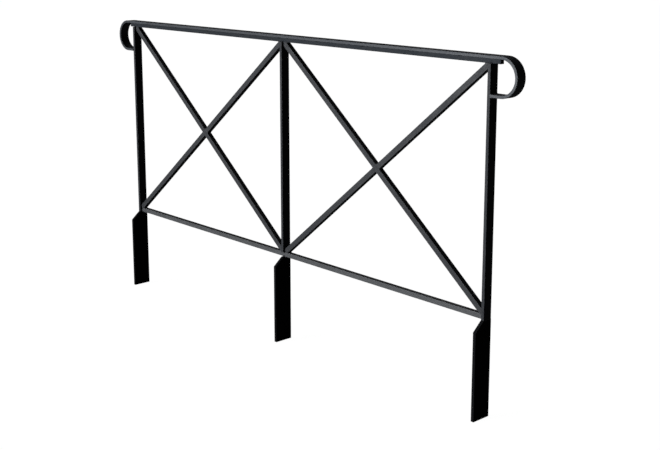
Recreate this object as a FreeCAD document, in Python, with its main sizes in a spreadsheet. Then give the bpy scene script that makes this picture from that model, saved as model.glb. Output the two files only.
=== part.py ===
import FreeCAD, Part
import Sketcher
import os

# A welded guard railing of solid steel bar: two rails, three flat posts on edge, a cross of braces in each
# bay, a flat handrail that curls into a scroll at both ends, and three plates below that go into the ground.
# The railing runs along X, its front faces -Y, and the origin lies under the middle plate.

PARTS_FOLDER = "parts"
SHEET = "Sizes"

# Every size in millimetres, with the words that the sheet shows beside it.
SIZES = (
    ("frame_length", 2000, "over the outer faces of the end posts"),
    ("post_thickness", 12, "flat bar of the posts, along the railing"),
    ("post_depth", 36, "flat bar of the posts, across the railing"),
    ("post_height", 805, "between the two rails"),
    ("bottom_rail_side", 18, "square bar of the lower rail"),
    ("top_rail_side", 16, "square bar of the upper rail"),
    ("top_rail_overhang", 30, "of the upper rail past each end post"),
    ("brace_side", 20, "square bar of the crossed braces"),
    ("handrail_width", 40, "flat bar, across the railing"),
    ("handrail_thickness", 10, "flat bar"),
    ("scroll_radius", 65, "to the outside of the curled end"),
    ("scroll_reach", 41, "from the end post's outer face to the middle of the curl"),
    ("foot_width", 75, "plate, across the railing"),
    ("foot_thickness", 12, "plate, along the railing"),
    ("foot_length", 334, "from the underside of the lower rail down"),
    ("foot_heel", 1, "of the plate behind the post's back face"),
    ("shoulder_drop", 33, "height of the plate's sloping shoulder"),
    ("edge_radius", 1, "rolled edge of every bar"),
)

# Lengths that follow from the sheet, written in its own language.
BAY_PITCH = "((Sizes.frame_length - Sizes.post_thickness) / 2)"
OPENING_LENGTH = f"({BAY_PITCH} - Sizes.post_thickness)"
OPENING_HEIGHT = "Sizes.post_height"
RAIL_TOP = "(Sizes.foot_length + Sizes.bottom_rail_side)"
POST_TOP = f"({RAIL_TOP} + Sizes.post_height)"
HANDRAIL_BASE = f"({POST_TOP} + Sizes.top_rail_side)"
FRAME_LEFT = "(-Sizes.frame_length / 2)"

# A brace lies on its opening's diagonal, and its pointed end fills the corner between post and rail:
# CORNER_RUN is how far that end reaches along the rail, and CORNER_RISE how far up the post.
DIAGONAL = f"sqrt({OPENING_LENGTH} ^ 2 + {OPENING_HEIGHT} ^ 2)"
CORNER_RUN = f"(Sizes.brace_side * {DIAGONAL} / (2 * {OPENING_HEIGHT}))"
CORNER_RISE = f"(Sizes.brace_side * {DIAGONAL} / (2 * {OPENING_LENGTH}))"

# Each bay with the direction along X from its end post to the middle one.
BAYS = (("left", 1), ("right", -1))

# Each post with its place in bays from the middle one, and the level it stands on: the end posts run down to
# their plates with the lower rail between them, and the middle one stands on that rail.
POSTS = (("left", -1, "Sizes.foot_length"), ("middle", 0, RAIL_TOP), ("right", 1, "Sizes.foot_length"))

# The half turn that makes a piece's outline grow the given way along X and Z from its own corner.
HALF_TURNS = {
    (1, 1): FreeCAD.Rotation(),
    (-1, 1): FreeCAD.Rotation(FreeCAD.Vector(0, 0, 1), 180),
    (1, -1): FreeCAD.Rotation(FreeCAD.Vector(1, 0, 0), 180),
    (-1, -1): FreeCAD.Rotation(FreeCAD.Vector(0, 1, 0), 180),
}


def make_sheet(doc):
    """The sheet that holds the railing's driving sizes."""
    sheet = doc.addObject("Spreadsheet::Sheet", SHEET)
    for row, (alias, value, meaning) in enumerate(SIZES, 1):
        sheet.set(f"A{row}", alias)
        sheet.set(f"B{row}", str(value))
        sheet.setAlias(f"B{row}", alias)
        sheet.set(f"C{row}", meaning)
    doc.recompute()
    return sheet


def origin_plane(body, role):
    """One of the body's own origin planes, by its role."""
    return next(plane for plane in body.Origin.OriginFeatures if plane.Role == role)


def tie(sketch, kind, geometry, vertex, expression):
    """Holds a point's distance from the sketch's origin, along X or Y, to an expression."""
    value = float(sketch.evalExpression(expression))
    index = sketch.addConstraint(Sketcher.Constraint(kind, -1, 1, geometry, vertex, value))
    sketch.setExpression(f"Constraints[{index}]", expression)


def tie_point(sketch, geometry, vertex, across, up):
    """Places a point by its two coordinates, or on an axis where one is None."""
    if across is None:
        sketch.addConstraint(Sketcher.Constraint("PointOnObject", geometry, vertex, -2))
    else:
        tie(sketch, "DistanceX", geometry, vertex, across)
    if up is None:
        sketch.addConstraint(Sketcher.Constraint("PointOnObject", geometry, vertex, -1))
    else:
        tie(sketch, "DistanceY", geometry, vertex, up)


def draw_outline(sketch, corners, bends=None):
    """Closed outline through the corners, straight but for its bends.

    Each corner is a pair of expressions, None for a zero. A bend, kept by the number of the corner where it
    starts, is the half circle to the next corner: the expression of its middle, along X, and its side.
    """
    bends = bends or {}
    places = [
        FreeCAD.Vector(*(0.0 if part is None else float(sketch.evalExpression(part)) for part in corner))
        for corner in corners
    ]
    count = len(corners)
    for number, start in enumerate(places):
        end = places[(number + 1) % count]
        if number in bends:
            bulge = FreeCAD.Vector(bends[number][1] * start.distanceToPoint(end) / 2, 0, 0)
            sketch.addGeometry(Part.Arc(start, (start + end) / 2 + bulge, end))
        else:
            sketch.addGeometry(Part.LineSegment(start, end))
    # An arc that was drawn clockwise is kept the other way round, so its first point is found by its place.
    firsts = []
    for number, start in enumerate(places):
        first = sketch.getPoint(number, 1)
        firsts.append(1 if first.distanceToPoint(start) < 1e-4 else 2)
    for number in range(count):
        after = (number + 1) % count
        sketch.addConstraint(
            Sketcher.Constraint("Coincident", number, 3 - firsts[number], after, firsts[after])
        )
    for number, corner in enumerate(corners):
        tie_point(sketch, number, firsts[number], *corner)
    for number, (middle, _) in bends.items():
        tie(sketch, "DistanceX", number, 3, middle)


def make_piece(doc, label, role, corners, thickness, place, bends=None, facing=(1, 1)):
    """A piece cut to an outline from bar or plate, with its long edges rounded.

    Its outline is drawn on one of the body's own upright planes, and its thickness lies evenly on both sides.
    """
    body = doc.addObject("PartDesign::Body", label)
    body.Label = label
    sketch = body.newObject("Sketcher::SketchObject", f"{label}_outline")
    sketch.AttachmentSupport = [(origin_plane(body, role), "")]
    sketch.MapMode = "FlatFace"
    doc.recompute()
    draw_outline(sketch, corners, bends)
    pad = body.newObject("PartDesign::Pad", f"{label}_bar")
    pad.Profile = sketch
    pad.Midplane = True
    pad.setExpression("Length", thickness)
    doc.recompute()
    edges = pad.Shape.Edges
    longest = sorted(range(len(edges)), key=lambda index: -edges[index].Length)[:4]
    rounding = body.newObject("PartDesign::Fillet", f"{label}_rolled_edges")
    rounding.Base = (pad, [f"Edge{index + 1}" for index in longest])
    rounding.setExpression("Radius", "Sizes.edge_radius")
    body.Placement.Rotation = HALF_TURNS[facing]
    for axis, expression in place.items():
        body.setExpression(f".Placement.Base.{axis}", expression)
    doc.recompute()
    return body


def bar_outline(length, height):
    """Corners of a straight bar's side, from its lower left one."""
    return ((None, None), (length, None), (length, height), (None, height))


def make_rails(doc):
    """The lower rail, from end post to end post, and the upper one, which runs on past them."""
    bottom_length = "(Sizes.frame_length - 2 * Sizes.post_thickness)"
    make_piece(
        doc, "bottom_rail", "XZ_Plane", bar_outline(bottom_length, "Sizes.bottom_rail_side"),
        "Sizes.bottom_rail_side", {"x": f"-{bottom_length} / 2", "z": "Sizes.foot_length"},
    )
    top_length = "(Sizes.frame_length + 2 * Sizes.top_rail_overhang)"
    make_piece(
        doc, "top_rail", "XZ_Plane", bar_outline(top_length, "Sizes.top_rail_side"),
        "Sizes.top_rail_side", {"x": f"-{top_length} / 2", "z": POST_TOP},
    )


def make_handrail(doc):
    """The flat bar on the upper rail, bent at each end into a half circle whose tail meets the end post."""
    radius = "Sizes.scroll_radius"
    inner = "Sizes.handrail_thickness"
    top = "(2 * Sizes.scroll_radius)"
    under = "(2 * Sizes.scroll_radius - Sizes.handrail_thickness)"
    left_tail = "(Sizes.scroll_radius + Sizes.scroll_reach)"
    right_tail = f"({left_tail} + Sizes.frame_length)"
    right_middle = f"({right_tail} + Sizes.scroll_reach)"
    corners = (
        (left_tail, None), (radius, None), (radius, top), (right_middle, top), (right_middle, None),
        (right_tail, None), (right_tail, inner), (right_middle, inner), (right_middle, under),
        (radius, under), (radius, inner), (left_tail, inner),
    )
    bends = {1: (radius, -1), 3: (right_middle, 1), 7: (right_middle, 1), 9: (radius, -1)}
    make_piece(
        doc, "handrail", "XZ_Plane", corners, "Sizes.handrail_width",
        {"x": f"{FRAME_LEFT} - {left_tail}", "z": f"{HANDRAIL_BASE} - {under}"}, bends,
    )


def make_posts_and_feet(doc):
    """Each post up to the upper rail, and below it the plate whose lower end is buried."""
    heel = "(Sizes.post_depth / 2 + Sizes.foot_heel)"
    land = "(Sizes.foot_width - Sizes.foot_heel - Sizes.post_depth)"
    shoulder = "(Sizes.foot_length - Sizes.shoulder_drop)"
    plate = (
        (None, None), ("Sizes.foot_width", None), ("Sizes.foot_width", "Sizes.foot_length"),
        (land, "Sizes.foot_length"), (None, shoulder),
    )
    for where, bays, base in POSTS:
        axis = f"{BAY_PITCH} * {bays}"
        make_piece(
            doc, f"post_{where}", "XZ_Plane", bar_outline("Sizes.post_thickness", f"({POST_TOP} - {base})"),
            "Sizes.post_depth", {"x": f"{axis} - Sizes.post_thickness / 2", "z": base},
        )
        make_piece(
            doc, f"foot_{where}", "YZ_Plane", plate, "Sizes.foot_thickness",
            {"x": axis, "y": f"{heel} - Sizes.foot_width"},
        )


def make_braces(doc):
    """One long brace and two halves in each bay, the halves cut to lie against the long one's sides.

    The bays are mirror images, so both long braces meet at the foot of the middle post.
    """
    length, height = OPENING_LENGTH, OPENING_HEIGHT
    run, rise = CORNER_RUN, CORNER_RISE
    long_outline = (
        (None, height), (None, f"{height} - {rise}"), (f"{length} - {run}", None),
        (length, None), (length, rise), (run, height),
    )
    half_outline = (
        (None, None), (run, None), (f"{length} / 2", f"{height} / 2 - {rise}"),
        (f"{length} / 2 - {run}", f"{height} / 2"), (None, rise),
    )
    for bay, inward in BAYS:
        by_end_post = {"x": f"{inward} * ({FRAME_LEFT} + Sizes.post_thickness)", "z": RAIL_TOP}
        by_middle_post = {"x": f"{-inward} * Sizes.post_thickness / 2", "z": POST_TOP}
        make_piece(
            doc, f"brace_{bay}_long", "XZ_Plane", long_outline, "Sizes.brace_side",
            by_end_post, facing=(inward, 1),
        )
        make_piece(
            doc, f"brace_{bay}_lower_half", "XZ_Plane", half_outline, "Sizes.brace_side",
            by_end_post, facing=(inward, 1),
        )
        make_piece(
            doc, f"brace_{bay}_upper_half", "XZ_Plane", half_outline, "Sizes.brace_side",
            by_middle_post, facing=(-inward, -1),
        )


def export_pieces(doc):
    """Writes each piece to a file of its own, once every object is sound."""
    doc.recompute()
    for item in doc.Objects:
        if {"Invalid", "Error"} & set(item.State):
            raise RuntimeError(f"{item.Label} did not rebuild: {item.State}")
    bodies = [item for item in doc.Objects if item.isDerivedFrom("PartDesign::Body")]
    for body in bodies:
        if body.Shape.isNull() or not body.Shape.isValid() or len(body.Shape.Solids) != 1:
            raise RuntimeError(f"{body.Label} is not one sound solid")
    os.makedirs(PARTS_FOLDER, exist_ok=True)
    for body in bodies:
        body.Shape.exportStep(os.path.join(PARTS_FOLDER, f"{body.Label}.step"))


document = FreeCAD.newDocument("guard_railing")
make_sheet(document)
make_rails(document)
make_handrail(document)
make_posts_and_feet(document)
make_braces(document)
export_pieces(document)
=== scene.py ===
import logging
import math
import random
from dataclasses import dataclass, field, replace
from enum import Enum
from typing import ClassVar

import bmesh
import bpy
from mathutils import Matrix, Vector


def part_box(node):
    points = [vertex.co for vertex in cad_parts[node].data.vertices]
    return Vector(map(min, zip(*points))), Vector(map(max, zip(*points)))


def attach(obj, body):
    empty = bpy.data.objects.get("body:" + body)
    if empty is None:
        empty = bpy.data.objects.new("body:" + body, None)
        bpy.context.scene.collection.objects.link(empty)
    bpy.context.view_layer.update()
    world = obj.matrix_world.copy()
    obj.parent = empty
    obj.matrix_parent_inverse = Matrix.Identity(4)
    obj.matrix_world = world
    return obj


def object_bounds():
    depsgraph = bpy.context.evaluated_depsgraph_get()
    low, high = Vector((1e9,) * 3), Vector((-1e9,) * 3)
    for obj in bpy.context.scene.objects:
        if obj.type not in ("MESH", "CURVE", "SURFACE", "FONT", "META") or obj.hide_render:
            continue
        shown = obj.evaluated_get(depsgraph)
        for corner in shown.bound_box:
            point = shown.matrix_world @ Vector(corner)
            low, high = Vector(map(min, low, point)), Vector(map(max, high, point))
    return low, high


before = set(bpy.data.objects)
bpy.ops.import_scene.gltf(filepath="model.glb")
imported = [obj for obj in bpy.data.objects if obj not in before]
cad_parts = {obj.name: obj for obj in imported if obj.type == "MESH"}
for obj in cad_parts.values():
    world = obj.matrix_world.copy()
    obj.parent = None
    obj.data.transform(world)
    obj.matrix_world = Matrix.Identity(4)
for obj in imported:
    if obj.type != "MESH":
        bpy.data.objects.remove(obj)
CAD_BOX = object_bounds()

# The looks of a welded guard railing: paint on the CAD solids, weld beads where they meet, and a studio
# that is white to the camera. Lengths are in metres. X runs along the railing, -Y is its front, +Z is up.

LOG = logging.getLogger("guard_railing")
BODY = "root"
SEED = 41

AXIS_X = Vector((1.0, 0.0, 0.0))
AXIS_Y = Vector((0.0, 1.0, 0.0))
AXIS_Z = Vector((0.0, 0.0, 1.0))

Colour = tuple[float, float, float]
Face = tuple[int, ...]
Socket = bpy.types.NodeSocket
Sockets = bpy.types.bpy_prop_collection
Source = float | tuple[float, ...] | Socket


class End(Enum):
    """An end of the railing, valued by its direction along X."""

    LEFT = -1
    RIGHT = 1

    @property
    def word(self) -> str:
        """The end's word in the nodes' names."""
        return self.name.lower()

    @property
    def out(self) -> Vector:
        """The direction out of the railing at this end."""
        return self.value * AXIS_X


class Side(Enum):
    """A face of the railing, valued by its direction along Y."""

    FRONT = -1
    BACK = 1

    @property
    def out(self) -> Vector:
        """The direction out of the railing on this side."""
        return self.value * AXIS_Y


class Post(Enum):
    """A post with the foot plate under it, valued by the word in their nodes' names."""

    LEFT = "left"
    MIDDLE = "middle"
    RIGHT = "right"

    @property
    def node(self) -> str:
        """The name of the post's node."""
        return f"post_{self.value}"

    @property
    def foot_node(self) -> str:
        """The name of its plate's node."""
        return f"foot_{self.value}"


class Slot(Enum):
    """A material slot of the part's record."""

    PAINT = "black_paint"


END_POSTS = {End.LEFT: Post.LEFT, End.RIGHT: Post.RIGHT}


def put(name: str, data: bpy.types.ID) -> bpy.types.Object:
    """Puts a new object into the scene.

    Args:
        name: of the object.
        data: its mesh, lamp or camera.

    Returns:
        The object.
    """
    made = bpy.data.objects.new(name, data)
    bpy.context.scene.collection.objects.link(made)
    return made


class NodeNet:
    """Adds nodes to one shader tree and joins them."""

    def __init__(self, tree: bpy.types.NodeTree) -> None:
        """Keeps the tree that the nodes go into."""
        self.tree = tree

    @classmethod
    def emptied(cls, owner: bpy.types.Material | bpy.types.World) -> "NodeNet":
        """The tree of a material or world, with the nodes that it came with taken out.

        Args:
            owner: the material or world.

        Returns:
            Its net.
        """
        owner.use_nodes = True
        owner.node_tree.nodes.clear()
        return cls(owner.node_tree)

    def add(self, kind: str, **settings: object) -> bpy.types.Node:
        """A new node.

        Args:
            kind: Blender's own name for the node's type.
            settings: the node's properties, by name.

        Returns:
            The node, with those properties set.
        """
        node = self.tree.nodes.new(kind)
        for name, value in settings.items():
            setattr(node, name, value)
        return node

    def feed(self, socket: Socket, source: Source) -> None:
        """Gives an input a value, or joins another node's output to it.

        Args:
            socket: the input.
            source: a number, a colour or an output socket.
        """
        if isinstance(source, Socket):
            self.tree.links.new(source, socket)
        else:
            socket.default_value = source

    def calculate(self, operation: str, *terms: Source, clamp: bool = False) -> Socket:
        """The result of one sum on numbers.

        Args:
            operation: the Math node's operation.
            terms: numbers or output sockets, in order.
            clamp: whether the result is held between 0 and 1.

        Returns:
            The output socket.
        """
        node = self.add("ShaderNodeMath", operation=operation, use_clamp=clamp)
        for socket, term in zip(node.inputs, terms):
            self.feed(socket, term)
        return node.outputs["Value"]

    def spread(self, value: Source, given: tuple[float, float], wanted: tuple[float, float]) -> Socket:
        """A value carried smoothly from one range to another, and held in it.

        Args:
            value: the output socket to carry over.
            given: the range it comes in.
            wanted: the range it goes to.

        Returns:
            The output socket.
        """
        node = self.add("ShaderNodeMapRange", interpolation_type="SMOOTHSTEP", clamp=True)
        names = ("Value", "From Min", "From Max", "To Min", "To Max")
        for name, term in zip(names, (value, *given, *wanted)):
            self.feed(node.inputs[name], term)
        return node.outputs["Result"]

    def noise(self, place: Source, scale: Source, detail: float, roughness: float = 0.5) -> Socket:
        """Soft noise over the object's own coordinates.

        Args:
            place: the coordinates' output socket.
            scale: lumps per metre.
            detail: how many finer layers it has.
            roughness: how strong the finer layers are.

        Returns:
            The output socket, about 0.5 on average.
        """
        node = self.add("ShaderNodeTexNoise", noise_dimensions="3D")
        self.feed(node.inputs["Vector"], place)
        self.feed(node.inputs["Scale"], scale)
        node.inputs["Detail"].default_value = detail
        node.inputs["Roughness"].default_value = roughness
        return node.outputs["Fac"]

    def blend(self, share: Source, under: Source, over: Source) -> Socket:
        """Two colours mixed.

        Args:
            share: how much of the second shows.
            under: the first colour.
            over: the second colour.

        Returns:
            The output socket.
        """
        node = self.add("ShaderNodeMix", data_type="RGBA")
        for name, term in (("Factor_Float", share), ("A_Color", under), ("B_Color", over)):
            self.feed(next(socket for socket in node.inputs if socket.identifier == name), term)
        return next(socket for socket in node.outputs if socket.identifier == "Result_Color")


@dataclass(frozen=True)
class GroupSocket:
    """A named input of a node group, with what it holds until it is fed."""

    name: str
    default: float


class SurfaceEffect:
    """A shader node group that several finishes share, built the first time that it is asked for."""

    name: str = "effect"
    inputs: tuple[GroupSocket, ...] = ()
    outputs: tuple[str, ...] = ("Mask",)

    def tree(self) -> bpy.types.NodeTree:
        """The group, with its sockets and nodes.

        Returns:
            The node tree, the same one at every call.
        """
        found = bpy.data.node_groups.get(self.name)
        if found is not None:
            return found
        tree = bpy.data.node_groups.new(self.name, "ShaderNodeTree")
        for entry in self.inputs:
            socket = tree.interface.new_socket(entry.name, in_out="INPUT", socket_type="NodeSocketFloat")
            socket.default_value = entry.default
        for name in self.outputs:
            tree.interface.new_socket(name, in_out="OUTPUT", socket_type="NodeSocketFloat")
        net = NodeNet(tree)
        self.fill(net, net.add("NodeGroupInput").outputs, net.add("NodeGroupOutput").inputs)
        return tree

    def fill(self, net: NodeNet, given: Sockets, wanted: Sockets) -> None:
        """Builds the nodes between the group's inputs and its outputs; each effect has its own."""
        raise NotImplementedError

    def place(self, net: NodeNet, **values: float) -> Sockets:
        """Puts the group into a material.

        Args:
            net: the material's nodes.
            values: what its inputs are set to, by name.

        Returns:
            The group's outputs there.
        """
        node = net.add("ShaderNodeGroup", node_tree=self.tree(), label=self.name)
        for name, value in values.items():
            net.feed(node.inputs[name], value)
        return node.outputs


class SprayTexture(SurfaceEffect):
    """The fine orange peel that a sprayed coat dries with, and the broad patches where it lies thicker."""

    name = "spray_texture"
    inputs = (GroupSocket("Lumps", 420.0), GroupSocket("Patches", 14.0))
    outputs = ("Height", "Patchiness")
    swell_scale: float = 0.21  # lumps of the broad swell under the peel, against the peel's own
    swell_share: float = 0.7  # of the swell in the height, against the peel
    grain_scale: float = 11.0  # lumps of the grain in the patches, against the patches' own
    grain_share: float = 0.35  # of the grain in the patches, the rest being broad
    contrast: tuple[float, float] = (0.36, 0.64)  # the noise at which the coat is thickest and thinnest

    def fill(self, net: NodeNet, given: Sockets, wanted: Sockets) -> None:
        """Peel from two layers of noise, patches from a third and a finer fourth.

        Args:
            net: the group's nodes.
            given: the sockets of its input node.
            wanted: the sockets of its output node.
        """
        place = net.add("ShaderNodeTexCoord").outputs["Object"]
        peel = net.noise(place, given["Lumps"], detail=2.0)
        swell = net.noise(place, net.calculate("MULTIPLY", given["Lumps"], self.swell_scale), detail=1.0)
        net.feed(wanted["Height"], net.calculate("MULTIPLY_ADD", swell, self.swell_share, peel))
        broad = net.noise(place, given["Patches"], detail=3.0, roughness=0.6)
        grain = net.noise(place, net.calculate("MULTIPLY", given["Patches"], self.grain_scale), detail=2.0)
        even = net.calculate("MULTIPLY", broad, 1.0 - self.grain_share)
        both = net.calculate("MULTIPLY_ADD", grain, self.grain_share, even)
        net.feed(wanted["Patchiness"], net.spread(both, self.contrast, (0.0, 1.0)))


class EdgeWear(SurfaceEffect):
    """Where the coat is thin over an arris, or rubbed through to the primer."""

    name = "edge_wear"
    inputs = (GroupSocket("Reach", 0.0012), GroupSocket("Chips", 160.0))
    outputs = ("Thin", "Rubbed")
    turn: tuple[float, float] = (0.995, 0.90)  # the cosine to a rounded normal where wear begins and is full
    rubbing: tuple[float, float] = (0.60, 0.68)  # the noise from which an arris is rubbed, and rubbed bare

    def fill(self, net: NodeNet, given: Sockets, wanted: Sockets) -> None:
        """An edge mask from a bevelled normal, broken up by noise for the places that are rubbed.

        Args:
            net: the group's nodes.
            given: the sockets of its input node.
            wanted: the sockets of its output node.
        """
        bevel = net.add("ShaderNodeBevel", samples=4)
        net.feed(bevel.inputs["Radius"], given["Reach"])
        cosine = net.add("ShaderNodeVectorMath", operation="DOT_PRODUCT")
        net.feed(cosine.inputs[0], bevel.outputs["Normal"])
        net.feed(cosine.inputs[1], net.add("ShaderNodeNewGeometry").outputs["Normal"])
        edge = net.spread(cosine.outputs["Value"], self.turn, (0.0, 1.0))
        place = net.add("ShaderNodeTexCoord").outputs["Object"]
        noise = net.noise(place, given["Chips"], detail=3.0, roughness=0.7)
        broken = net.spread(noise, self.rubbing, (0.0, 1.0))
        net.feed(wanted["Thin"], edge)
        net.feed(wanted["Rubbed"], net.calculate("MULTIPLY", edge, broken))


class SettledDust(SurfaceEffect):
    """The thin film of dust on faces that look up, with fainter smears elsewhere."""

    name = "settled_dust"
    inputs = (GroupSocket("Smears", 9.0),)
    upturn: tuple[float, float] = (0.3, 0.95)  # the normal's Z where the dust is least and most
    least_cover: float = 0.25
    smearing: tuple[float, float] = (0.38, 0.72)  # the noise where the film is thinnest and thickest
    least_smear: float = 0.1

    def fill(self, net: NodeNet, given: Sockets, wanted: Sockets) -> None:
        """A mask from how far the face looks up, broken up by noise.

        Args:
            net: the group's nodes.
            given: the sockets of its input node.
            wanted: the sockets of its output node.
        """
        parts = net.add("ShaderNodeSeparateXYZ")
        net.feed(parts.inputs["Vector"], net.add("ShaderNodeNewGeometry").outputs["Normal"])
        upward = net.spread(parts.outputs["Z"], self.upturn, (self.least_cover, 1.0))
        place = net.add("ShaderNodeTexCoord").outputs["Object"]
        noise = net.noise(place, given["Smears"], detail=5.0, roughness=0.65)
        smears = net.spread(noise, self.smearing, (self.least_smear, 1.0))
        net.feed(wanted["Mask"], net.calculate("MULTIPLY", upward, smears))


@dataclass(frozen=True)
class PaintFinish:
    """A coat of black paint over steel, with the marks of its spraying, its edges and a little dust."""

    name: str
    colour: Colour
    roughness: tuple[float, float]  # where the coat lies thickest and thinnest
    specular: float
    peel_height: float
    lumps: float = 420.0  # of the peel, per metre
    thick_shade: float = 0.82  # of the colour, where the coat lies thickest
    thin_shade: float = 1.22
    edge_polish: float = 0.35  # the share of its roughness that an arris has lost
    rubbed_share: float = 0.25
    dust_share: float = 0.04
    primer: Colour = (0.16, 0.155, 0.15)
    dust: Colour = (0.30, 0.28, 0.25)

    def material(self) -> bpy.types.Material:
        """The finish as a material.

        Returns:
            The material, the same one at every call.
        """
        found = bpy.data.materials.get(self.name)
        if found is not None:
            return found
        made = bpy.data.materials.new(self.name)
        net = NodeNet.emptied(made)
        spray = SprayTexture().place(net, Lumps=self.lumps)
        wear = EdgeWear().place(net)
        film = SettledDust().place(net)
        bump = net.add("ShaderNodeBump")
        net.feed(bump.inputs["Strength"], 1.0)
        net.feed(bump.inputs["Distance"], self.peel_height)
        net.feed(bump.inputs["Height"], spray["Height"])
        shader = net.add("ShaderNodeBsdfPrincipled")
        net.feed(shader.inputs["Base Color"], self.mixed_colour(net, spray, wear, film))
        net.feed(shader.inputs["Roughness"], self.mixed_roughness(net, spray, wear, film))
        net.feed(shader.inputs["Normal"], bump.outputs["Normal"])
        shader.inputs["Specular IOR Level"].default_value = self.specular
        output = net.add("ShaderNodeOutputMaterial")
        net.feed(output.inputs["Surface"], shader.outputs["BSDF"])
        return made

    def shaded(self, share: float) -> tuple[float, ...]:
        """The paint's colour times a share, with its alpha."""
        return (*(share * part for part in self.colour), 1.0)

    def mixed_colour(self, net: NodeNet, spray: Sockets, wear: Sockets, film: Sockets) -> Socket:
        """The coat's uneven colour, with primer where it is rubbed and dust over both.

        Args:
            net: the material's nodes.
            spray: the outputs of the spray's texture.
            wear: the outputs of the wear.
            film: the outputs of the dust.

        Returns:
            The output socket.
        """
        coat = net.blend(spray["Patchiness"], self.shaded(self.thick_shade), self.shaded(self.thin_shade))
        rubbed = net.calculate("MULTIPLY", wear["Rubbed"], self.rubbed_share)
        worn = net.blend(rubbed, coat, (*self.primer, 1.0))
        dusty = net.calculate("MULTIPLY", film["Mask"], self.dust_share)
        return net.blend(dusty, worn, (*self.dust, 1.0))

    def mixed_roughness(self, net: NodeNet, spray: Sockets, wear: Sockets, film: Sockets) -> Socket:
        """The coat's uneven roughness, less over its arrises and more under dust.

        Args:
            net: the material's nodes.
            spray: the outputs of the spray's texture.
            wear: the outputs of the wear.
            film: the outputs of the dust.

        Returns:
            The output socket.
        """
        coat = net.spread(spray["Patchiness"], (0.0, 1.0), self.roughness)
        polish = net.calculate("MULTIPLY", wear["Thin"], -self.edge_polish * self.roughness[0])
        dusty = net.calculate("MULTIPLY", film["Mask"], self.dust_share)
        return net.calculate("ADD", net.calculate("ADD", coat, polish), dusty, clamp=True)


BAR_PAINT = PaintFinish(
    "bar_paint", colour=(0.014, 0.015, 0.018), roughness=(0.52, 0.64), specular=0.38, peel_height=0.00006,
)
# Painted light: a glossier copy of the bar paint, so that the braces render brighter than the posts under
# the same lamps.
BRACE_LIT_PAINT = replace(BAR_PAINT, name="brace_paint", specular=0.48)
# Painted shade: a darker, less glossy copy of the bar paint, standing in for the shade that the handrail
# casts on the upper rail.
UPPER_RAIL_SHADED_PAINT = replace(BAR_PAINT, name="upper_rail_paint", colour=(0.011, 0.015, 0.021), specular=0.22)
# Painted light: a bluer, glossier copy of the black paint, so that the handrail's edge renders brighter than
# the posts under the same lamps.
HANDRAIL_LIT_PAINT = PaintFinish(
    "rail_paint", colour=(0.015, 0.019, 0.026), roughness=(0.46, 0.56), specular=0.62,
    peel_height=0.00005, rubbed_share=0.35,
)
# Painted light: a lighter copy of the handrail's paint at full gloss, so that the lower rail renders as
# bright as the handrail's edge under the same lamps.
LOWER_RAIL_LIT_PAINT = replace(HANDRAIL_LIT_PAINT, name="lower_rail_paint", colour=(0.021, 0.022, 0.024), specular=1.0)
WELD_PAINT = PaintFinish(
    "weld_paint", colour=(0.016, 0.017, 0.020), roughness=(0.44, 0.60), specular=0.5,
    peel_height=0.00008, lumps=700.0, edge_polish=0.2, rubbed_share=0.15,
)
# A deeper, duller and less glossy black than the bars' paint, so that the plates render nearly black.
FOOT_PAINT = PaintFinish(
    "foot_paint", colour=(0.006, 0.006, 0.007), roughness=(0.62, 0.78), specular=0.05,
    peel_height=0.00010, lumps=300.0, rubbed_share=0.3, dust_share=0.02,
)


@dataclass(frozen=True)
class Bead:
    """A weld bead's line and its section: two toes, the crown between them, and the root in the metal."""

    # Shares of a fillet's leg: how far the toes sink, the crown stands out and the root goes in.
    TOE_SINK: ClassVar[float] = 0.06
    CROWN_RISE: ClassVar[float] = 0.22
    ROOT_DEPTH: ClassVar[float] = 0.3
    # Shares of a dressed seam's height: how far its toes sink and its root goes in.
    SEAM_SINK: ClassVar[float] = 0.5
    SEAM_ROOT: ClassVar[float] = 3.0

    start: Vector
    end: Vector
    toe_a: Vector
    toe_b: Vector
    crown: Vector
    root: Vector

    @classmethod
    def in_corner(cls, start: Vector, end: Vector, face_a: Vector, face_b: Vector, leg: float) -> "Bead":
        """A fillet in the inside corner of two faces.

        Args:
            start: where the corner line begins.
            end: where it ends.
            face_a: the outward normal of one face.
            face_b: the outward normal of the other face.
            leg: how far the bead reaches along each face.

        Returns:
            The bead.
        """
        along_a = (face_b - face_b.dot(face_a) * face_a).normalized()
        along_b = (face_a - face_a.dot(face_b) * face_b).normalized()
        outward = (face_a + face_b).normalized()
        sink = cls.TOE_SINK * leg
        return cls(
            start, end, leg * along_a - sink * face_a, leg * along_b - sink * face_b,
            cls.CROWN_RISE * leg * outward, -cls.ROOT_DEPTH * leg * outward,
        )

    @classmethod
    def on_face(cls, start: Vector, end: Vector, face: Vector, width: float, height: float) -> "Bead":
        """A seam dressed down almost flush with the face that it lies in.

        Args:
            start: where the seam begins.
            end: where it ends.
            face: the face's outward normal.
            width: of the seam.
            height: how far it stands proud.

        Returns:
            The bead.
        """
        half = width / 2 * (end - start).normalized().cross(face)
        sink = cls.SEAM_SINK * height
        return cls(
            start, end, half - sink * face, -half - sink * face,
            (height + sink) * face, -cls.SEAM_ROOT * height * face,
        )


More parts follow.
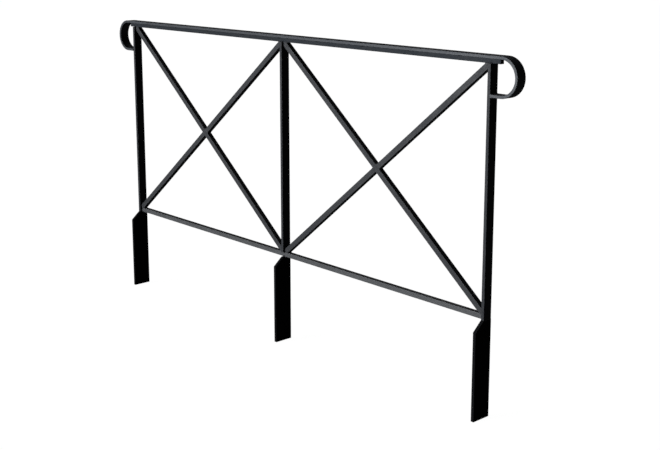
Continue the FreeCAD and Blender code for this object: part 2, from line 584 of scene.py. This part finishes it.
@dataclass
class WeldSet:
    """The beads of one sub-assembly, made into one mesh of rippled solids."""

    name: str
    ripple: float = 0.0019  # from one ripple to the next
    step: float = 0.0004  # from one section to the next
    least_steps: int = 8  # however short the bead
    across: int = 6  # points over a section's crown
    ripple_depth: float = 0.45  # of the crown's height
    ripple_bow: float = 0.35  # how far a ripple's middle trails its ends, as a share of the bead's width
    ridge_power: float = 0.7  # under 1, the ripples have round ridges and sharp valleys
    end_round: float = 0.45  # the length of a bead's rounded end, as a share of its width
    end_size: float = 0.30  # of a bead's section at its very end
    pitch_range: tuple[float, float] = (0.9, 1.15)  # of the ripple, by chance in each bead
    size_range: tuple[float, float] = (0.93, 1.07)  # of the section, by chance in each bead
    sharp_angle: float = 50.0  # degrees
    beads: list[Bead] = field(default_factory=list)

    def lay(self, *beads: Bead) -> None:
        """Adds beads to the set."""
        self.beads.extend(beads)

    def station(self, bead: Bead, place: float, length: float, pitch: float, size: float) -> list[Vector]:
        """One section of a bead.

        Args:
            bead: the bead.
            place: how far along its line the section lies.
            length: of its line.
            pitch: from one ripple to the next.
            size: how full the bead is, about 1.

        Returns:
            The section's points, from the root round the crown.
        """
        full = (bead.toe_a - bead.toe_b).length
        nearest = min(place, length - place) / (self.end_round * full)
        rounding = math.sqrt(max(0.0, 1.0 - (1.0 - min(1.0, nearest)) ** 2))
        swell = size * (self.end_size + (1.0 - self.end_size) * rounding)
        middle = bead.start.lerp(bead.end, place / length)
        points = [middle + swell * bead.root]
        for number in range(self.across):
            share = number / (self.across - 1)
            arch = math.sin(math.pi * share)
            phase = (place + self.ripple_bow * full * arch) / pitch
            ridge = abs(math.sin(math.pi * phase)) ** self.ridge_power
            rise = arch * (1.0 - self.ripple_depth + self.ripple_depth * ridge)
            points.append(middle + swell * (bead.toe_a.lerp(bead.toe_b, share) + rise * bead.crown))
        return points

    def shape(self, bead: Bead, pitch: float, size: float, first: int) -> tuple[list[Vector], list[Face]]:
        """One bead as a closed solid.

        Args:
            bead: the bead.
            pitch: from one ripple to the next.
            size: how full the bead is, about 1.
            first: the number of its first point in the mesh.

        Returns:
            Its points, and its faces by their points' numbers in the mesh.
        """
        length = (bead.end - bead.start).length
        count = max(self.least_steps, round(length / self.step))
        ring = self.across + 1
        points: list[Vector] = []
        faces: list[Face] = []
        for number in range(count + 1):
            points.extend(self.station(bead, length * number / count, length, pitch, size))
        for number in range(count):
            near, far = first + number * ring, first + (number + 1) * ring
            for corner in range(ring):
                after = (corner + 1) % ring
                faces.append((near + corner, far + corner, far + after, near + after))
        last = first + count * ring
        faces.append(tuple(range(first, first + ring)))
        faces.append(tuple(reversed(range(last, last + ring))))
        return points, faces

    def build(self, finish: PaintFinish) -> bpy.types.Object:
        """Makes the mesh, paints it and fastens it to the railing.

        Args:
            finish: the coat on the beads.

        Returns:
            The object.
        """
        chance = random.Random(f"{SEED} {self.name}")
        points: list[Vector] = []
        faces: list[Face] = []
        for bead in self.beads:
            pitch = self.ripple * chance.uniform(*self.pitch_range)
            size = chance.uniform(*self.size_range)
            more_points, more_faces = self.shape(bead, pitch, size, len(points))
            points.extend(more_points)
            faces.extend(more_faces)
        mesh = bpy.data.meshes.new(self.name)
        mesh.from_pydata([tuple(point) for point in points], [], faces)
        mesh.validate()
        mesh.update()
        self.face_outward(mesh)
        mesh.shade_smooth()
        mesh.set_sharp_from_angle(angle=math.radians(self.sharp_angle))
        mesh.materials.append(finish.material())
        made = put(self.name, mesh)
        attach(made, BODY)
        return made

    @staticmethod
    def face_outward(mesh: bpy.types.Mesh) -> None:
        """Turns every bead's faces the same way, outward.

        Args:
            mesh: the beads' mesh, changed in place.
        """
        shell = bmesh.new()
        shell.from_mesh(mesh)
        bmesh.ops.recalc_face_normals(shell, faces=shell.faces)
        shell.to_mesh(mesh)
        shell.free()


@dataclass
class Span:
    """A CAD node's box, read once."""

    node: str
    low: Vector = field(init=False)
    high: Vector = field(init=False)

    def __post_init__(self) -> None:
        """Reads the box."""
        self.low, self.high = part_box(self.node)

    def outer(self, end: End) -> float:
        """The X of the box's face at that end of the railing."""
        return self.high.x if end is End.RIGHT else self.low.x

    def face(self, side: Side) -> float:
        """The Y of the box's face on that side of the railing."""
        return self.high.y if side is Side.BACK else self.low.y


@dataclass
class SubAssembly:
    """Some of the railing's nodes, which it dresses, and the beads that hold them, which it builds."""

    name: str
    coats: dict[str, PaintFinish]

    def weld(self, beads: WeldSet) -> None:
        """Lays this sub-assembly's beads; each kind has its own."""
        raise NotImplementedError

    def dress(self) -> None:
        """Paints the CAD nodes."""
        for name, finish in self.coats.items():
            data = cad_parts[name].data
            data.materials.clear()
            data.materials.append(finish.material())
            LOG.info("%s: node %s painted with %s", self.name, name, finish.name)

    def build(self) -> bpy.types.Object:
        """Dresses the nodes and builds the beads.

        Returns:
            The beads' object.
        """
        self.dress()
        beads = WeldSet(f"welds_{self.name}")
        self.weld(beads)
        made = beads.build(WELD_PAINT)
        count, faces = len(beads.beads), len(made.data.polygons)
        LOG.info("%s: %s has %d beads and %d faces", self.name, made.name, count, faces)
        return made


@dataclass
class PostsAndFeet(SubAssembly):
    """The posts, the lower rail and the plates.

    The end posts stand on their plates, and the middle one stands on the rail with its plate under it.
    """

    leg: float = 0.004
    seam_width: float = 0.0045
    seam_height: float = 0.0004
    inset: float = 0.001

    def weld(self, beads: WeldSet) -> None:
        """Beads at both ends of every post and at the head of every plate.

        Args:
            beads: the set that they are laid in.
        """
        lower, upper = Span("bottom_rail"), Span("top_rail")
        for which in Post:
            post = Span(which.node)
            for side in Side:
                beads.lay(self.bead_across(post, upper.face(side), post.high.z, side.out, AXIS_Z))
        for end, which in END_POSTS.items():
            self.weld_end_post(beads, Span(which.node), lower, upper, end)
        self.weld_middle_post(beads, Span(Post.MIDDLE.node), Span(Post.MIDDLE.foot_node), lower)

    def weld_middle_post(self, beads: WeldSet, post: Span, foot: Span, lower: Span) -> None:
        """Beads where the middle post stands on the lower rail and where its plate hangs under it.

        Args:
            beads: the set that they are laid in.
            post: the middle post.
            foot: its plate.
            lower: the lower rail.
        """
        for side in Side:
            beads.lay(
                self.bead_across(post, lower.face(side), post.low.z, side.out, -AXIS_Z),
                self.bead_across(foot, lower.face(side), foot.high.z, side.out, AXIS_Z),
            )
        for end in End:
            beads.lay(self.bead_along(lower, foot.outer(end), foot.high.z, end.out, -AXIS_Z))

    def weld_end_post(self, beads: WeldSet, post: Span, lower: Span, upper: Span, end: End) -> None:
        """Beads at the end of the lower rail, under the upper one, and where the post stands on its plate.

        Args:
            beads: the set that they are laid in.
            post: the end post.
            lower: the lower rail.
            upper: the upper rail.
            end: the end of the railing that it is at.
        """
        beads.lay(self.bead_along(upper, post.outer(end), post.high.z, end.out, -AXIS_Z))
        for way in End:
            seam = self.line_along(post, post.outer(way), post.low.z)
            beads.lay(Bead.on_face(*seam, way.out, self.seam_width, self.seam_height))
        for side in Side:
            low = Vector((lower.outer(end), lower.face(side), lower.low.z + self.inset))
            high = Vector((lower.outer(end), lower.face(side), lower.high.z - self.inset))
            beads.lay(Bead.in_corner(low, high, -end.out, side.out, self.leg))

    def bead_across(self, piece: Span, y: float, z: float, face: Vector, other: Vector) -> Bead:
        """A short bead over the thickness of a post or plate, along X.

        Args:
            piece: the post or plate.
            y: the rail's face that it lies against.
            z: the height of the end of the piece.
            face: the outward normal of the rail's face.
            other: the outward normal of the piece's end.

        Returns:
            The bead.
        """
        start = Vector((piece.low.x + self.inset, y, z))
        end = Vector((piece.high.x - self.inset, y, z))
        return Bead.in_corner(start, end, face, other, self.leg)

    def line_along(self, rail: Span, x: float, z: float) -> tuple[Vector, Vector]:
        """The two ends of a line over a rail's or post's width, along Y, at that X and height."""
        return Vector((x, rail.low.y + self.inset, z)), Vector((x, rail.high.y - self.inset, z))

    def bead_along(self, rail: Span, x: float, z: float, face: Vector, other: Vector) -> Bead:
        """A bead over a rail's width, along Y.

        Args:
            rail: the rail.
            x: the face of the post or plate.
            z: the rail's face.
            face: the outward normal of the post's or plate's face.
            other: the outward normal of the rail's face.

        Returns:
            The bead.
        """
        return Bead.in_corner(*self.line_along(rail, x, z), face, other, self.leg)


@dataclass
class BraceCross(SubAssembly):
    """The three braces of one bay: one from corner to corner and two halves that meet it.

    A brace's pointed end reaches along the rail by the run and up the post by the rise. The lean holds how
    far the normal of a brace's long face points along X and along Z.
    """

    end: End = End.LEFT
    leg: float = 0.0035
    seam_width: float = 0.004
    seam_height: float = 0.00025
    corner_seam_height: float = 0.0012
    inset: float = 0.001
    bay: Span = field(init=False)
    half: float = field(init=False)  # of a brace's width
    run: float = field(init=False)
    rise: float = field(init=False)
    lean: Vector = field(init=False)

    def __post_init__(self) -> None:
        """Reads the bay's opening, which the long brace fills, and works out the braces' slope."""
        self.bay = Span(f"brace_{self.end.word}_long")
        length = self.bay.high.x - self.bay.low.x
        height = self.bay.high.z - self.bay.low.z
        slope = math.hypot(length, height)
        self.half = self.bay.high.y
        self.run = self.half * slope / height
        self.rise = self.half * slope / length
        self.lean = Vector((height / slope, 0.0, length / slope))

    def weld(self, beads: WeldSet) -> None:
        """Beads in the bay's four corners and where the braces cross.

        Args:
            beads: the set that they are laid in.
        """
        low, high = self.bay.low, self.bay.high
        for x, into_x in ((low.x, 1), (high.x, -1)):
            for z, into_z in ((low.z, 1), (high.z, -1)):
                self.weld_corner(beads, Vector((x, 0.0, z)), into_x, into_z)
        self.weld_crossing(beads, Vector(((low.x + high.x) / 2, 0.0, (low.z + high.z) / 2)))

    def over_width(self, place: Vector) -> tuple[Vector, Vector]:
        """The ends of a line over the braces' width, along Y, through that place."""
        reach = (self.half - self.inset) * AXIS_Y
        return place - reach, place + reach

    def weld_corner(self, beads: WeldSet, corner: Vector, into_x: int, into_z: int) -> None:
        """Beads round one brace end, in the corner of a post and a rail.

        Args:
            beads: the set that they are laid in.
            corner: where the post's face meets the rail's.
            into_x: the direction along X from the post into the bay.
            into_z: the direction along Z from the rail into the bay.
        """
        post_face, rail_face = into_x * AXIS_X, into_z * AXIS_Z
        brace_face = Vector((into_x * self.lean.x, 0.0, -into_z * self.lean.z))
        up_post = corner + self.rise * rail_face
        along_rail = corner + self.run * post_face
        beads.lay(
            Bead.in_corner(*self.over_width(up_post), post_face, -brace_face, self.leg),
            Bead.in_corner(*self.over_width(along_rail), rail_face, brace_face, self.leg),
        )
        for side in Side:
            flush = self.half * side.out
            line = corner + flush + self.inset * rail_face, up_post + flush
            inward = (self.half - self.inset) * side.out
            seam = corner + inward + self.leg * post_face, along_rail + inward
            beads.lay(
                Bead.in_corner(*line, post_face, side.out, self.leg),
                Bead.on_face(*seam, side.out, self.seam_width, self.corner_seam_height),
            )

    def weld_crossing(self, beads: WeldSet, middle: Vector) -> None:
        """Beads in the four angles of the crossing, and the seams dressed flush on its faces.

        Args:
            beads: the set that they are laid in.
            middle: where the braces' middle lines cross.
        """
        steep = Vector((self.lean.x, 0.0, 0.0))
        flat = Vector((0.0, 0.0, self.lean.z))
        for way in (1, -1):
            beside = middle + way * self.run * AXIS_X
            above = middle + way * self.rise * AXIS_Z
            beads.lay(
                Bead.in_corner(*self.over_width(beside), way * steep - flat, way * steep + flat, self.leg),
                Bead.in_corner(*self.over_width(above), way * flat - steep, way * flat + steep, self.leg),
            )
            tip = middle - way * self.run * self.end.out
            for side in Side:
                flush = self.half * side.out
                seam = above + flush, tip + flush
                beads.lay(Bead.on_face(*seam, side.out, self.seam_width, self.seam_height))


@dataclass
class RailsAndHandrail(SubAssembly):
    """The flat handrail, tacked along the upper rail and welded to the end posts by its curled tails."""

    leg: float = 0.003
    tail_leg: float = 0.004
    tack_length: float = 0.022
    tacks: int = 9
    stagger: float = 0.1  # of the tacks' spacing, to the left in front and to the right behind
    inset: float = 0.001

    def weld(self, beads: WeldSet) -> None:
        """Tacks under the handrail on both sides, and beads at the ends of the rail and of the tails.

        Args:
            beads: the set that they are laid in.
        """
        upper, handrail = Span("top_rail"), Span("handrail")
        thickness = handrail.high.z - upper.high.z
        reach = Span(Post.RIGHT.node).high.x
        for side in Side:
            for number in range(self.tacks):
                share = (number + 0.5 + self.stagger * side.value) / self.tacks
                x = reach * (2 * share - 1)
                start = Vector((x - self.tack_length / 2, upper.face(side), upper.high.z))
                end = start + self.tack_length * AXIS_X
                beads.lay(Bead.in_corner(start, end, side.out, -AXIS_Z, self.leg))
        for end, which in END_POSTS.items():
            post = Span(which.node)
            across = AXIS_Y * (upper.high.y - self.inset)
            tip = Vector((upper.outer(end), 0.0, upper.high.z))
            beads.lay(Bead.in_corner(tip - across, tip + across, end.out, -AXIS_Z, self.leg))
            depth = AXIS_Y * (post.high.y - self.inset)
            for height, facing in ((handrail.low.z, -AXIS_Z), (handrail.low.z + thickness, AXIS_Z)):
                tail = Vector((post.outer(end), 0.0, height))
                beads.lay(Bead.in_corner(tail - depth, tail + depth, end.out, facing, self.tail_leg))


@dataclass(frozen=True)
class Lamp:
    """A distant soft lamp, in degrees: azimuth 0 shines from the -Y side, and more goes round towards +X."""

    name: str
    azimuth: float
    elevation: float
    strength: float
    softness: float
    colour: Colour = (1.0, 1.0, 1.0)

    def hang(self) -> bpy.types.Object:
        """Makes the lamp.

        Returns:
            The lamp's object.
        """
        data = bpy.data.lights.new(self.name, "SUN")
        data.energy = self.strength
        data.angle = math.radians(self.softness)
        data.color = self.colour
        made = put(self.name, data)
        made.rotation_euler = (math.radians(90.0 - self.elevation), 0.0, math.radians(self.azimuth))
        return made


@dataclass(frozen=True)
class Viewpoint:
    """The camera, which looks along +Y, turned left by the yaw and down by the pitch.

    The angles are in degrees, the lens and sensor in millimetres, and the shift in widths of the picture.
    """

    place: tuple[float, float, float] = (3.1890, -2.6788, 1.5284)
    yaw: float = 47.63
    pitch: float = 11.07
    lens: float = 61.12
    sensor: float = 36.0
    shift: float = -0.10
    far: float = 200.0

    def set_up(self) -> bpy.types.Object:
        """Makes the scene's camera.

        Returns:
            The camera's object.
        """
        data = bpy.data.cameras.new("camera")
        data.sensor_fit = "HORIZONTAL"
        data.sensor_width = self.sensor
        data.lens = self.lens
        data.shift_y = self.shift
        data.clip_end = self.far
        made = put("camera", data)
        made.location = self.place
        made.rotation_euler = (math.radians(90.0 - self.pitch), 0.0, math.radians(self.yaw))
        bpy.context.scene.camera = made
        return made


@dataclass
class Studio:
    """A plain floor in a room, both white to the camera, and three lamps.

    The key lamp stands in front and a little to the left, and the back lamp stands behind. Both are
    nearly level, so that faces that look up or to the right stay almost black. A faint lamp above
    softens this.
    """

    floor_reach: float = 60.0
    floor_colour: Colour = (0.16, 0.16, 0.16)
    floor_glow: float = 0.98  # of white, where the background is seen
    backdrop_colour: Colour = (1.0, 1.0, 1.0)
    room_colour: Colour = (0.96, 0.98, 1.0)
    room_level: float = 0.01
    mirrored: float = 0.005  # the share of the white background that gloss and glass see
    lamps: tuple[Lamp, ...] = (
        Lamp("key", azimuth=-24.0, elevation=3.0, strength=4.0, softness=18.0, colour=(0.92, 0.955, 1.0)),
        Lamp("top", azimuth=-70.0, elevation=72.0, strength=0.25, softness=60.0),
        Lamp("back", azimuth=190.0, elevation=3.0, strength=2.3, softness=8.0),
    )
    camera: Viewpoint = Viewpoint()

    def seen(self, net: NodeNet) -> Socket:
        """How much of the white a ray sees: all of it from the camera, and a share in gloss and glass.

        Args:
            net: the nodes of the floor or of the room.

        Returns:
            The output socket.
        """
        path = net.add("ShaderNodeLightPath").outputs
        bounced = net.calculate("ADD", path["Is Glossy Ray"], path["Is Transmission Ray"])
        return net.calculate("MULTIPLY_ADD", bounced, self.mirrored, path["Is Camera Ray"], clamp=True)

    def light_room(self) -> None:
        """The room: white to the camera, and a faint even light for the rest."""
        world = bpy.data.worlds.new("room")
        bpy.context.scene.world = world
        net = NodeNet.emptied(world)
        mix = net.add("ShaderNodeMixShader")
        net.feed(mix.inputs[0], self.seen(net))
        sources = ((self.room_colour, self.room_level), (self.backdrop_colour, 1.0))
        for socket, (colour, strength) in zip(list(mix.inputs)[1:], sources):
            background = net.add("ShaderNodeBackground")
            net.feed(background.inputs["Color"], (*colour, 1.0))
            net.feed(background.inputs["Strength"], strength)
            net.feed(socket, background.outputs["Background"])
        output = net.add("ShaderNodeOutputWorld")
        net.feed(output.inputs["Surface"], mix.outputs["Shader"])

    def floor_material(self) -> bpy.types.Material:
        """The floor: a matt surface that takes shadows, lifted to white where the background is seen.

        Returns:
            The material.
        """
        made = bpy.data.materials.new("studio_floor")
        net = NodeNet.emptied(made)
        shader = net.add("ShaderNodeBsdfPrincipled")
        net.feed(shader.inputs["Base Color"], (*self.floor_colour, 1.0))
        net.feed(shader.inputs["Roughness"], 1.0)
        net.feed(shader.inputs["Specular IOR Level"], 0.0)
        glow = net.add("ShaderNodeEmission")
        net.feed(glow.inputs["Strength"], net.calculate("MULTIPLY", self.seen(net), self.floor_glow))
        both = net.add("ShaderNodeAddShader")
        net.feed(both.inputs[0], shader.outputs["BSDF"])
        net.feed(both.inputs[1], glow.outputs["Emission"])
        output = net.add("ShaderNodeOutputMaterial")
        net.feed(output.inputs["Surface"], both.outputs["Shader"])
        return made

    def lay_floor(self) -> bpy.types.Object:
        """The floor, level with the lower ends of the foot plates.

        Returns:
            The floor's object.
        """
        corners = [(-1, -1), (1, -1), (1, 1), (-1, 1)]
        points = [(x * self.floor_reach, y * self.floor_reach, CAD_BOX[0].z) for x, y in corners]
        mesh = bpy.data.meshes.new("studio_floor")
        mesh.from_pydata(points, [], [(0, 1, 2, 3)])
        mesh.materials.append(self.floor_material())
        made = put("studio_floor", mesh)
        return made

    def set_up(self) -> None:
        """Sets the room, the floor, the lamps, the camera and the colour transform."""
        bpy.context.scene.view_settings.view_transform = "Standard"
        self.light_room()
        self.lay_floor()
        for lamp in self.lamps:
            lamp.hang()
        self.camera.set_up()
        LOG.info("studio: floor, room, camera and %d lamps", len(self.lamps))


def railing() -> tuple[SubAssembly, ...]:
    """The railing's sub-assemblies, in the order that they are built.

    Returns:
        Each of them, with its nodes and their finishes.
    """
    posts = {post.node: BAR_PAINT for post in Post}
    feet = {post.foot_node: FOOT_PAINT for post in Post}
    parts = ("long", "lower_half", "upper_half")
    crosses = (
        BraceCross(
            f"braces_{end.word}", {f"brace_{end.word}_{part}": BRACE_LIT_PAINT for part in parts}, end=end,
        )
        for end in End
    )
    return (
        PostsAndFeet("posts", {"bottom_rail": LOWER_RAIL_LIT_PAINT, **posts, **feet}),
        *crosses,
        RailsAndHandrail("handrail", {"top_rail": UPPER_RAIL_SHADED_PAINT, "handrail": HANDRAIL_LIT_PAINT}),
    )


def main() -> None:
    """Builds the railing's looks and the studio, and reports each piece."""
    logging.basicConfig(level=logging.INFO, format="%(name)s: %(message)s")
    for part in railing():
        part.build()
    Studio().set_up()


if __name__ == "__main__":
    main()
